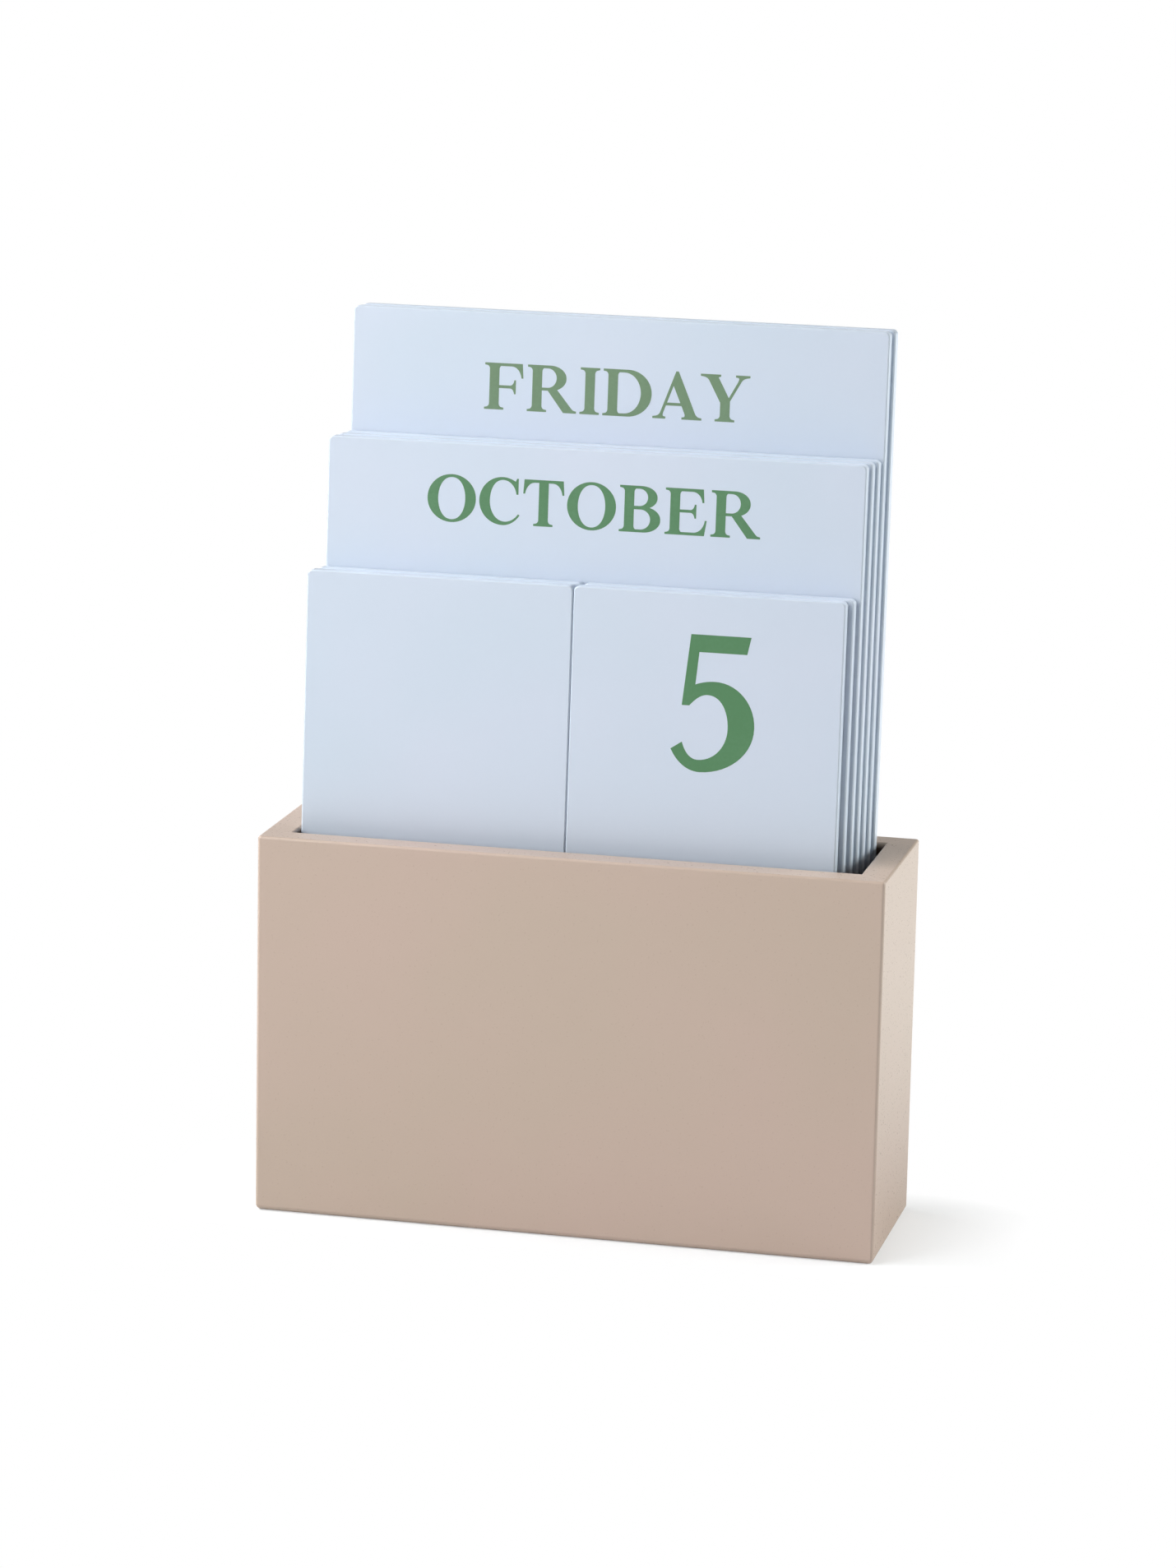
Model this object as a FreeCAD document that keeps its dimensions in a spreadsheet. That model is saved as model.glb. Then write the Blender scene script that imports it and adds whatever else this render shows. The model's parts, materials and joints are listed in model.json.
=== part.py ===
import FreeCAD, Part
import os

import Sketcher

# Perpetual desk calendar: nine thin printed boards that stand in an open-topped, painted box.
# Front to back there are two layers of number boards, each in two columns, three month boards
# and two weekday boards. Each row stands higher than the row before it, so every row's word or
# number can be read. The boards lie closer together than the box is deep, so they all lean
# back by the same angle: the front board's foot is near the front panel, and the last board
# lies against the rim of the back panel.
# Lengths are in millimetres. +Z is up, the front looks towards -Y, and the origin is the middle
# of the underside.

doc = FreeCAD.newDocument("perpetual_calendar")
sizes = doc.addObject("Spreadsheet::Sheet", "sizes")

# Every size that can be set by itself: name, value, what it measures
DRIVING_SIZES = (
    ("panel_thickness", 5.5, "walls of the box"),
    ("floor_thickness", 5.5, "floor of the box"),
    ("box_height", 73.5, "underside to rim"),
    ("upright_round", 0.6, "radius of the box's four outer upright edges"),
    ("foot_round", 1.2, "radius of the box's outer bottom edges"),
    ("rim_round", 0.5, "radius of the rim's outer and inner edges"),
    ("board_thickness", 2.85, "every board"),
    ("board_gap", 0.28, "air between one layer of boards and the next"),
    ("board_corner_round", 1.0, "radius of a board's corners, seen from the front"),
    ("board_edge_bevel", 0.22, "edges of a board's two faces, broken by sanding"),
    ("row_width", 103.0, "a month or weekday board, and two number boards side by side"),
    ("number_gap", 0.12, "air between the two number boards of a layer"),
    ("number_show", 49.0, "height of a number board above the box's walls"),
    ("month_show", 24.5, "how much taller a month board is than a number board"),
    ("weekday_show", 23.5, "how much taller a weekday board is than a month board"),
    ("side_play", 6.0, "how much wider the pocket is than a row of boards"),
    ("stack_play", 4.37, "how much deeper the pocket is than the stack of boards"),
    ("side_clearance", 0.3, "least air between a board and a side panel"),
    ("front_clearance", 0.3, "air between the front board's foot and the front panel"),
    ("rim_clearance", 0.3, "air between the last board and the rim that it leans on"),
    ("foot_clearance", 0.3, "air between the boards and the floor"),
    ("number_front_share", 0.0, "place of this layer in the sideways play, from left to right"),
    ("number_rear_share", 0.185, "as above"),
    ("month_front_share", 0.333, "as above"),
    ("month_middle_share", 0.444, "as above"),
    ("month_rear_share", 0.543, "as above"),
    ("weekday_front_share", 0.637, "as above"),
    ("weekday_rear_share", 0.746, "as above"),
)
for row, (name, value, meaning) in enumerate(DRIVING_SIZES, 1):
    sizes.set(f"A{row}", name)
    sizes.set(f"B{row}", str(value))
    sizes.set(f"C{row}", meaning)
    sizes.setAlias(f"B{row}", name)
doc.recompute()

# The layers of boards, front to back: the row's kind and the layer's place in that row
LAYERS = (
    ("number", "front"),
    ("number", "rear"),
    ("month", "front"),
    ("month", "middle"),
    ("month", "rear"),
    ("weekday", "front"),
    ("weekday", "rear"),
)

# Sizes that follow from the driving ones
worked = doc.addObject("App::VarSet", "worked")


def work_out(name, formula, kind="App::PropertyFloat"):
    """Keeps a size that follows from other sizes."""
    worked.addProperty(kind, name)
    worked.setExpression(name, formula)


worked.addProperty("App::PropertyInteger", "layer_count")
worked.layer_count = len(LAYERS)
work_out("pitch", "sizes.board_thickness + sizes.board_gap")
work_out("stack_thickness", "worked.layer_count * worked.pitch - sizes.board_gap")
work_out("pocket_width", "sizes.row_width + sizes.side_play")
work_out("pocket_depth", "worked.stack_thickness + sizes.stack_play")
work_out("pocket_height", "sizes.box_height - sizes.floor_thickness")
work_out("box_width", "worked.pocket_width + 2 * sizes.panel_thickness")
work_out("box_depth", "worked.pocket_depth + 2 * sizes.panel_thickness")
work_out("number_width", "(sizes.row_width - sizes.number_gap) / 2")
work_out("number_height", "worked.pocket_height + sizes.number_show")
work_out("month_height", "worked.number_height + sizes.month_show")
work_out("weekday_height", "worked.month_height + sizes.weekday_show")

# The lean: seen from the side, the stack fills the slanting space between the front panel's
# foot and the centre of the round on the back panel's inner rim edge. With reach_back and
# reach_up from the one to the other, and slant_filled measured square to the boards,
# reach_back * cos(lean) - reach_up * sin(lean) = slant_filled.
work_out("foot_height", "sizes.floor_thickness + sizes.foot_clearance")
work_out("reach_back", "worked.pocket_depth - sizes.front_clearance + sizes.rim_round")
work_out("reach_up", "sizes.box_height - sizes.rim_round - worked.foot_height")
work_out("slant_filled", "worked.stack_thickness + sizes.rim_clearance + sizes.rim_round")
work_out(
    "lean",
    "acos(worked.slant_filled / hypot(worked.reach_back; worked.reach_up))"
    " - atan2(worked.reach_up; worked.reach_back)",
    "App::PropertyAngle",
)
doc.recompute()


def origin_plane(body, role):
    """One of the body's own three origin planes."""
    return next(plane for plane in body.Origin.OriginFeatures if plane.Role == role)


def outline(body, role, corners):
    """Draws a closed outline of straight sides on an origin plane. Each corner is two formulas."""
    sketch = body.newObject("Sketcher::SketchObject", f"{body.Name}_outline")
    sketch.AttachmentSupport = (origin_plane(body, role), [""])
    sketch.MapMode = "FlatFace"
    points = [
        FreeCAD.Vector(float(worked.evalExpression(across)), float(worked.evalExpression(along)), 0)
        for across, along in corners
    ]
    following = points[1:] + points[:1]
    for start, end in zip(points, following):
        sketch.addGeometry(Part.LineSegment(start, end), False)
    for side in range(len(corners)):
        sketch.addConstraint(
            Sketcher.Constraint("Coincident", side, 2, (side + 1) % len(corners), 1)
        )
    for side, (point, formulas) in enumerate(zip(points, corners)):
        for axis, formula, place in zip("XY", formulas, point[:2]):
            on_axis = -2 if axis == "X" else -1
            if formula == "0":
                sketch.addConstraint(Sketcher.Constraint("PointOnObject", side, 1, on_axis))
                continue
            constraint = Sketcher.Constraint(f"Distance{axis}", -1, 1, side, 1, place)
            number = sketch.addConstraint(constraint)
            sketch.renameConstraint(number, f"corner_{side}_{axis}")
            sketch.setExpression(f"Constraints.corner_{side}_{axis}", formula)
    return sketch


def pad(body, sketch, length, reverse=False):
    """Raises the outline into a solid."""
    feature = body.newObject("PartDesign::Pad", f"{body.Name}_pad")
    feature.Profile = sketch
    feature.Reversed = reverse
    feature.setExpression("Length", length)
    sketch.Visibility = False
    doc.recompute()
    return feature


def edges_where(feature, test):
    """Names of the feature's edges whose two ends pass the test."""
    return [
        f"Edge{number}"
        for number, edge in enumerate(feature.Shape.Edges, 1)
        if test(edge.firstVertex().Point, edge.lastVertex().Point)
    ]


def rounded(body, base, label, edges, radius):
    """Rounds some edges of the body's last feature."""
    feature = body.newObject("PartDesign::Fillet", f"{body.Name}_{label}")
    feature.Base = (base, edges)
    feature.setExpression("Radius", radius)
    doc.recompute()
    return feature


def bevelled(body, base, label, edges, size):
    """Breaks some edges of the body's last feature with an even bevel."""
    feature = body.newObject("PartDesign::Chamfer", f"{body.Name}_{label}")
    feature.Base = (base, edges)
    feature.setExpression("Size", size)
    doc.recompute()
    return feature


def place(item, across, along, up):
    """Puts the object's own origin at a place given by three formulas."""
    item.setExpression("Placement.Base.x", across)
    item.setExpression("Placement.Base.y", along)
    item.setExpression("Placement.Base.z", up)


def same(first, second):
    """True for two numbers that differ by no more than the modeller's own rounding."""
    return abs(first - second) < Part.Precision.confusion()


# The carcase is the whole box as it stands glued up, with its edges sanded round
carcase = doc.addObject("PartDesign::Body", "carcase")
block = pad(
    carcase,
    outline(
        carcase,
        "XY_Plane",
        (
            ("0", "0"),
            ("worked.box_width", "0"),
            ("worked.box_width", "worked.box_depth"),
            ("0", "worked.box_depth"),
        ),
    ),
    "sizes.box_height",
)
foot_edges = edges_where(block, lambda a, b: same(a.z, 0) and same(b.z, 0))
footed = rounded(carcase, block, "foot_round", foot_edges, "sizes.foot_round")
upright_edges = edges_where(
    footed, lambda a, b: same(a.x, b.x) and same(a.y, b.y) and not same(a.z, b.z)
)
squared = rounded(carcase, footed, "upright_round", upright_edges, "sizes.upright_round")

# The pocket for the boards is cut from the rim down to the floor
pocket_outline = outline(
    carcase,
    "XY_Plane",
    (
        ("sizes.panel_thickness", "sizes.panel_thickness"),
        ("worked.box_width - sizes.panel_thickness", "sizes.panel_thickness"),
        (
            "worked.box_width - sizes.panel_thickness",
            "worked.box_depth - sizes.panel_thickness",
        ),
        ("sizes.panel_thickness", "worked.box_depth - sizes.panel_thickness"),
    ),
)
pocket_outline.setExpression("AttachmentOffset.Base.z", "sizes.box_height")
pocket = carcase.newObject("PartDesign::Pocket", "carcase_pocket")
pocket.Profile = pocket_outline
pocket.Reversed = False
pocket.setExpression("Length", "worked.pocket_height")
pocket_outline.Visibility = False
doc.recompute()
removed = squared.Shape.Volume - pocket.Shape.Volume
wanted = worked.pocket_width * worked.pocket_depth * worked.pocket_height
difference_share = abs(removed / wanted - 1)
allowed_share = 1e-6
if difference_share > allowed_share:
    raise RuntimeError(f"The pocket takes out {removed} and should take out {wanted}")

rim = sizes.box_height
rim_edges = edges_where(pocket, lambda a, b: same(a.z, rim) and same(b.z, rim))
rounded(carcase, pocket, "rim_round", rim_edges, "sizes.rim_round")
place(carcase, "-worked.box_width / 2", "-worked.box_depth / 2", "0")

# Each wall is a board with both ends mitred, so the joints run through the upright edges:
# name, length, end of the box it starts at, and the turn from the front panel's direction
WALLS = (
    ("box_front", "worked.box_width", "-", "-", 0),
    ("box_right_side", "worked.box_depth", "", "-", 90),
    ("box_back", "worked.box_width", "", "", 180),
    ("box_left_side", "worked.box_depth", "-", "", 270),
)
subparts = []
for name, length, across_sign, along_sign, turn in WALLS:
    board = doc.addObject("PartDesign::Body", f"{name}_board")
    mitred = (
        ("0", "0"),
        (length, "0"),
        (f"{length} - sizes.panel_thickness", "sizes.panel_thickness"),
        ("sizes.panel_thickness", "sizes.panel_thickness"),
    )
    pad(board, outline(board, "XY_Plane", mitred), "sizes.box_height")
    board.Placement.Rotation = FreeCAD.Rotation(FreeCAD.Vector(0, 0, 1), turn)
    place(
        board,
        f"{across_sign}worked.box_width / 2",
        f"{along_sign}worked.box_depth / 2",
        "0",
    )
    wall = doc.addObject("Part::Common", name)
    wall.Label = name
    wall.Base = carcase
    wall.Tool = board
    subparts.append(wall)

# The floor is let in between the walls, flush with their undersides
floor = doc.addObject("Part::Box", "box_floor")
floor.Label = "box_floor"
floor.setExpression("Length", "worked.pocket_width")
floor.setExpression("Width", "worked.pocket_depth")
floor.setExpression("Height", "sizes.floor_thickness")
place(floor, "-worked.pocket_width / 2", "-worked.pocket_depth / 2", "0")
subparts.append(floor)


def calendar_board(name, width, height, left, layer):
    """One board: a flat panel with round corners and broken edges, leaning in its layer."""
    body = doc.addObject("PartDesign::Body", name)
    body.Label = name
    face = outline(
        body, "XZ_Plane", (("0", "0"), (width, "0"), (width, height), ("0", height))
    )
    panel = pad(body, face, "sizes.board_thickness", reverse=True)
    thickness_edges = edges_where(panel, lambda a, b: not same(a.y, b.y))
    cornered = rounded(body, panel, "corners", thickness_edges, "sizes.board_corner_round")
    face_edges = edges_where(cornered, lambda a, b: same(a.y, b.y))
    bevelled(body, cornered, "edges", face_edges, "sizes.board_edge_bevel")
    body.Placement.Rotation = FreeCAD.Rotation(FreeCAD.Vector(-1, 0, 0), worked.lean.Value)
    body.setExpression("Placement.Rotation.Angle", "worked.lean")
    first_foot = "-worked.pocket_depth / 2 + sizes.front_clearance"
    place(
        body,
        left,
        f"{first_foot} + {layer} * worked.pitch / cos(worked.lean)",
        "worked.foot_height + sizes.board_thickness * sin(worked.lean)",
    )
    subparts.append(body)


# Every layer's left edge is its share of the sideways play away from the left panel
for layer, (kind, depth_name) in enumerate(LAYERS):
    left = (
        "-worked.pocket_width / 2 + sizes.side_clearance"
        f" + sizes.{kind}_{depth_name}_share * (sizes.side_play - 2 * sizes.side_clearance)"
    )
    if kind == "number":
        right_column = f"{left} + worked.number_width + sizes.number_gap"
        for side, start in (("left", left), ("right", right_column)):
            calendar_board(
                f"number_board_{side}_{depth_name}",
                "worked.number_width",
                "worked.number_height",
                start,
                layer,
            )
    else:
        calendar_board(
            f"{kind}_board_{depth_name}", "sizes.row_width", f"worked.{kind}_height", left, layer
        )
doc.recompute()

# Nothing is written unless every object has been worked out and every piece is one sound solid
for item in doc.Objects:
    if "Invalid" in item.State or "Error" in item.State:
        raise RuntimeError(f"{item.Label} failed: {item.State}")
for piece in subparts:
    if piece.Shape.isNull() or not piece.Shape.isValid() or len(piece.Shape.Solids) != 1:
        raise RuntimeError(f"{piece.Label} is not one sound solid")

os.makedirs("parts", exist_ok=True)
for piece in subparts:
    piece.Shape.exportStep(f"parts/{piece.Label}.step")
print(f"lean {worked.lean}, box {worked.box_width:.2f} x {worked.box_depth:.2f} mm")
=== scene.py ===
import cmath
import json
import math

import bmesh
import bpy
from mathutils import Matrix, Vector
from mathutils.geometry import delaunay_2d_cdt


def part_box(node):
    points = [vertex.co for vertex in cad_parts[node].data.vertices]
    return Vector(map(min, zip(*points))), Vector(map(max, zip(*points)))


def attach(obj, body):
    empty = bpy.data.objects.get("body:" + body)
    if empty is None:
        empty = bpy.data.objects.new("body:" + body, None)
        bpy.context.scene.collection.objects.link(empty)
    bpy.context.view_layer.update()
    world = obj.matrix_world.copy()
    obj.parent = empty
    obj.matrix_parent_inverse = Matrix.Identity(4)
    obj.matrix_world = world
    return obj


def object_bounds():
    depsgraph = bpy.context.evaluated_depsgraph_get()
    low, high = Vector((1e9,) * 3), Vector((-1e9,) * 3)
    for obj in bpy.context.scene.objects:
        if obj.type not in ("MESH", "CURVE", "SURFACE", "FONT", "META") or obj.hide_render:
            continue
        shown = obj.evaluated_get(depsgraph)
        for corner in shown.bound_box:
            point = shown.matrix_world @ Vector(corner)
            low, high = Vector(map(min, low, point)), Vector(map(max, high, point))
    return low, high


# A perpetual desk calendar: a lacquered box, open at the top, in which nine lacquered
# boards stand in a leaning stack. The front ones show the day of the month, the month
# and the weekday, and a board is lifted out and turned to show another.
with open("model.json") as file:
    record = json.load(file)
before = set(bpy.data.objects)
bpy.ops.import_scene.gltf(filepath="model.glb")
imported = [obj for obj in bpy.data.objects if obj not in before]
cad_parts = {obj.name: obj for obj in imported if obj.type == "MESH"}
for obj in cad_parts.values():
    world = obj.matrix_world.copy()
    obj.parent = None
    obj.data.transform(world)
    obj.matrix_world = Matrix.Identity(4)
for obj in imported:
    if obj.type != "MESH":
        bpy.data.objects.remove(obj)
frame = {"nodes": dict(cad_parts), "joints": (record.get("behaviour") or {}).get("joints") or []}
cad_low, cad_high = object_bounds()


# The camera stands where the photographer's did: a long lens about a metre away, above
# the table and to the right of the box, rolled by about a degree. It comes first,
# because every place and size is judged through it.
CAMERA_PLACE = (0.21657, -0.94161, 0.29946)
CAMERA_TILT = (77.4176, -1.1515, 13.2431)
LENS_MM = 120.387
SENSOR_MM = 36.0

lens = bpy.data.cameras.new("long_lens")
lens.lens = LENS_MM
lens.sensor_width = SENSOR_MM
lens.clip_start = 0.05
lens.clip_end = 50.0
camera = bpy.data.objects.new("camera", lens)
camera.location = CAMERA_PLACE
camera.rotation_euler = [math.radians(angle) for angle in CAMERA_TILT]
bpy.context.scene.collection.objects.link(camera)
bpy.context.scene.camera = camera


# The box walls: four pieces of fibreboard, mitred at the corners and glued, then sanded
# as one block and sprayed with matt lacquer, a dusty clay colour. The sanding leaves
# every outer edge a little round, and the filler and lacquer hide the joints.
WALLS = ("box_front", "box_right_side", "box_back", "box_left_side")
CLAY = "#C6B2A2"
CLAY_WARM = "#C9B2A4"
# The next colour is a painted highlight, the paler paint along the edges.
CLAY_EDGE_HIGHLIGHT = "#D3BFB1"
# The next colour is painted shade: a dark brown for the pocket's inner faces below the rim.
POCKET_SHADE_BROWN = "#5A4739"


def linear(colour):
    """An sRGB hex colour as linear red, green and blue, with a full alpha."""
    shares = [int(colour[start:start + 2], 16) / 255 for start in (1, 3, 5)]
    return [s / 12.92 if s <= 0.04045 else ((s + 0.055) / 1.055) ** 2.4 for s in shares] + [1.0]


def node(tree, kind, settings, links):
    """Adds a node, with the settings and input values that it has and the outputs that feed it."""
    made = tree.nodes.new(kind)
    for name, value in settings.items():
        if isinstance(name, int) or name in made.inputs:
            made.inputs[name].default_value = value
        else:
            setattr(made, name, value)
    for name, output in links.items():
        tree.links.new(output, made.inputs[name])
    return made


def pocket_shade_mask(tree, place):
    """1 on the pocket's inner faces, fading in just below the rim, and 0 on every other face of the box.

    It places painted shade there, so the eye meets a dark slot round the boards."""
    hair_m = 0.0002
    fade_from_m = 0.0005
    fade_to_m = 0.0012
    half_wide, half_deep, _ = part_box("box_floor")[1]
    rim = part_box("box_front")[1][2]
    folded = node(tree, "ShaderNodeVectorMath", {"operation": "ABSOLUTE"}, {0: place})
    parts = node(tree, "ShaderNodeSeparateXYZ", {}, {0: folded.outputs["Vector"]})
    across = node(
        tree,
        "ShaderNodeMath",
        {"operation": "LESS_THAN", 1: half_wide + hair_m},
        {0: parts.outputs["X"]},
    )
    along = node(
        tree,
        "ShaderNodeMath",
        {"operation": "LESS_THAN", 1: half_deep + hair_m},
        {0: parts.outputs["Y"]},
    )
    below = node(
        tree,
        "ShaderNodeMapRange",
        {"From Min": rim - fade_from_m, "From Max": rim - fade_to_m, "To Min": 0.0, "To Max": 1.0},
        {"Value": parts.outputs["Z"]},
    )
    within = node(
        tree,
        "ShaderNodeMath",
        {"operation": "MULTIPLY"},
        {0: across.outputs["Value"], 1: along.outputs["Value"]},
    )
    deep = node(
        tree,
        "ShaderNodeMath",
        {"operation": "MULTIPLY"},
        {0: within.outputs["Value"], 1: below.outputs["Result"]},
    )
    return deep.outputs["Value"]


def sprayed_lacquer(name, colour, cloud_colour, edge_highlight_colour, roughness, peel_mm, peel_deep_mm, pocket_shade_colour=None):
    """Matt lacquer from a spray gun. It dries to a faint orange peel, so its sheen breaks up at close range.

    Its pigment lies in soft clouds, a shade apart, and a painted highlight makes it paler along its
    edges. The last argument, if given, is the colour of painted shade on the pocket's inner faces."""
    cloud_mm = 42.0
    cloud_from, cloud_to = 0.35, 0.65
    grain_mm = 0.45  # the real matting grains are dust, drawn coarser so that they show
    grain_from, grain_to = 0.3, 0.7
    grain_deep_share = 0.25
    roughness_swing = 0.03
    edge_mm = 0.55
    flat_cosine, edge_cosine = 0.98, 0.75
    pocket_shade_roughness = 0.62
    lacquer_ior = 1.5
    m = bpy.data.materials.new(name)
    m.use_nodes = True
    tree = m.node_tree
    tree.nodes.clear()
    place = node(tree, "ShaderNodeTexCoord", {}, {}).outputs["Object"]
    clouds = node(
        tree,
        "ShaderNodeTexNoise",
        {"Scale": 1000 / cloud_mm, "Detail": 2.0, "Roughness": 0.45},
        {"Vector": place},
    )
    cloudy = node(
        tree,
        "ShaderNodeMapRange",
        {"From Min": cloud_from, "From Max": cloud_to, "To Min": 0.0, "To Max": 1.0},
        {"Value": clouds.outputs["Fac"]},
    )
    pigment = node(
        tree,
        "ShaderNodeMix",
        {"data_type": "RGBA", 6: linear(colour), 7: linear(cloud_colour)},
        {0: cloudy.outputs["Result"]},
    )
    face = node(tree, "ShaderNodeNewGeometry", {}, {}).outputs["Normal"]
    # Painted highlight: where the bevel finds an edge, the paint turns paler.
    rounded = node(tree, "ShaderNodeBevel", {"samples": 6, "Radius": edge_mm / 1000}, {})
    agree = node(
        tree,
        "ShaderNodeVectorMath",
        {"operation": "DOT_PRODUCT"},
        {0: face, 1: rounded.outputs["Normal"]},
    )
    edge = node(
        tree,
        "ShaderNodeMapRange",
        {"From Min": flat_cosine, "From Max": edge_cosine, "To Min": 0.0, "To Max": 1.0},
        {"Value": agree.outputs["Value"]},
    )
    paint = node(
        tree,
        "ShaderNodeMix",
        {"data_type": "RGBA", 7: linear(edge_highlight_colour)},
        {0: edge.outputs["Result"], 6: pigment.outputs[2]},
    ).outputs[2]
    peel = node(tree, "ShaderNodeTexNoise", {"Scale": 1000 / peel_mm, "Detail": 1.0}, {"Vector": place})
    grain = node(tree, "ShaderNodeTexNoise", {"Scale": 1000 / grain_mm, "Detail": 2.0}, {"Vector": place})
    dull = node(
        tree,
        "ShaderNodeMapRange",
        {
            "From Min": grain_from,
            "From Max": grain_to,
            "To Min": roughness - roughness_swing,
            "To Max": roughness + roughness_swing,
        },
        {"Value": grain.outputs["Fac"]},
    ).outputs["Result"]
    # Painted shade: below the rim, the pocket's inner faces turn dark brown and duller.
    if pocket_shade_colour:
        inside = pocket_shade_mask(tree, place)
        paint = node(
            tree,
            "ShaderNodeMix",
            {"data_type": "RGBA", 7: linear(pocket_shade_colour)},
            {0: inside, 6: paint},
        ).outputs[2]
        dull = node(
            tree,
            "ShaderNodeMix",
            {"data_type": "FLOAT", 3: pocket_shade_roughness},
            {0: inside, 2: dull},
        ).outputs[0]
    orange_peel = node(
        tree,
        "ShaderNodeBump",
        {"Strength": 1.0, "Distance": peel_deep_mm / 1000},
        {"Height": peel.outputs["Fac"]},
    )
    tooth = node(
        tree,
        "ShaderNodeBump",
        {"Strength": 1.0, "Distance": peel_deep_mm * grain_deep_share / 1000},
        {"Height": grain.outputs["Fac"], "Normal": orange_peel.outputs["Normal"]},
    )
    shader = node(
        tree,
        "ShaderNodeBsdfPrincipled",
        {"IOR": lacquer_ior},
        {"Base Color": paint, "Roughness": dull, "Normal": tooth.outputs["Normal"]},
    )
    node(tree, "ShaderNodeOutputMaterial", {}, {"Surface": shader.outputs["BSDF"]})
    return m


def finish_nodes(names, material):
    """Gives CAD nodes their finish."""
    for name in names:
        mesh = frame["nodes"][name].data
        mesh.materials.clear()
        mesh.materials.append(material)


clay_lacquer = sprayed_lacquer(
    "clay_matt_lacquer_on_fibreboard",
    CLAY,
    CLAY_WARM,
    CLAY_EDGE_HIGHLIGHT,
    roughness=0.30,
    peel_mm=1.2,
    peel_deep_mm=0.007,
    pocket_shade_colour=POCKET_SHADE_BROWN,
)
finish_nodes(WALLS, clay_lacquer)


# The box floor: a panel of fibreboard, let in between the walls and glued. Its dark brown
# is painted shade for the bottom of the pocket, and its lacquer is rough.
POCKET_FLOOR_SHADE = "#65513F"

pocket_floor_shade_lacquer = sprayed_lacquer(
    "fibreboard_floor_painted_pocket_shade",
    POCKET_FLOOR_SHADE,
    POCKET_SHADE_BROWN,
    POCKET_FLOOR_SHADE,
    roughness=0.62,
    peel_mm=0.9,
    peel_deep_mm=0.02,
)
finish_nodes(["box_floor"], pocket_floor_shade_lacquer)


# The calendar boards: nine thin boards of fibreboard, cut, chamfered by a sanding block
# and sprayed on both faces with matt lacquer in a pale ice blue. Four half-width ones
# carry numbers, three full-width ones months, and the two tallest weekdays.
NUMBER_BOARDS = (
    "number_board_left_front",
    "number_board_right_front",
    "number_board_left_rear",
    "number_board_right_rear",
)
MONTH_BOARDS = ("month_board_front", "month_board_middle", "month_board_rear")
WEEKDAY_BOARDS = ("weekday_board_front", "weekday_board_rear")
ICE_BLUE = "#CEDAE8"
ICE_BLUE_CLOUD = "#D2DBEA"
# The next colour is a painted highlight, the paler paint along the boards' edges.
ICE_BLUE_EDGE_HIGHLIGHT = "#D9E4EA"

ice_lacquer = sprayed_lacquer(
    "ice_blue_matt_lacquer_on_board",
    ICE_BLUE,
    ICE_BLUE_CLOUD,
    ICE_BLUE_EDGE_HIGHLIGHT,
    roughness=0.33,
    peel_mm=1.0,
    peel_deep_mm=0.008,
)
finish_nodes(NUMBER_BOARDS + MONTH_BOARDS + WEEKDAY_BOARDS, ice_lacquer)


# The print: matt ink, pushed through a silk screen onto the finished lacquer in one thin
# coat. The letters are bold capitals with flat bracketed serifs, drawn here stroke by
# stroke in cap heights, and the numbers are as heavy and have plain cut ends.
STEM = 0.212
HAIR = 0.062
SLAB = 0.052
REACH = 0.108
BRACKET = 0.085
CURVE_STEPS = 14


def outline(*nodes):
    """Points of a closed outline. A node is x, y and, on a curve, its heading in and out in degrees."""
    points = []
    for here, there in zip(nodes, nodes[1:] + nodes[:1]):
        start, end = complex(*here[:2]), complex(*there[:2])
        points.append(start)
        if len(here) < 3 or len(there) < 3:
            continue
        chord = end - start
        turn = cmath.phase(cmath.rect(1, math.radians(here[-1])) / chord)
        arrive = cmath.phase(chord / cmath.rect(1, math.radians(there[2])))
        pull = start + cmath.rect(1, turn) * chord * easing(turn, arrive)
        push = end - cmath.rect(1, -arrive) * chord * easing(arrive, turn)
        for step in range(1, CURVE_STEPS):
            t = step / CURVE_STEPS
            s = 1 - t
            points.append(s**3 * start + 3 * s * s * t * pull + 3 * s * t * t * push + t**3 * end)
    return points


def easing(near, far):
    """Length of a curve's handle, as a share of its chord, that makes it as round as a bent spring."""
    wave = math.sqrt(2) * (math.sin(near) - math.sin(far) / 16) * (math.sin(far) - math.sin(near) / 16)
    wave *= math.cos(near) - math.cos(far)
    flat = 1 + (math.sqrt(5) - 1) / 2 * math.cos(near) + (3 - math.sqrt(5)) / 2 * math.cos(far)
    return (2 + wave) / 3 / flat


def upside_down(points, height=1.0):
    """An outline mirrored top to bottom within a height."""
    return [complex(p.real, height - p.imag) for p in points]


def turned_round(parts, width, height=1.0):
    """Outlines turned by half a turn within a width and height."""
    return [[complex(width - p.real, height - p.imag) for p in points] for points in parts]


def foot(left, right, lean=0.0, reach_left=REACH, reach_right=REACH):
    """Serif under a stroke that stands from left to right. lean is its slope, sideways over up."""
    rise = SLAB + BRACKET
    heading = math.degrees(math.atan2(1, lean))
    return outline(
        (left - reach_left, 0),
        (right + reach_right, 0),
        (right + reach_right, SLAB * 0.86),
        (right + reach_right * 0.62, SLAB, 176),
        (right + lean * rise, rise, heading),
        (left + lean * rise, rise, heading + 180),
        (left - reach_left * 0.62, SLAB, 184),
        (left - reach_left, SLAB * 0.86),
    )


def head(left, right, lean=0.0, reach_left=REACH, reach_right=REACH):
    """Serif on top of a stroke. lean is its slope, sideways over down."""
    return upside_down(foot(left, right, lean, reach_left, reach_right))


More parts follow.
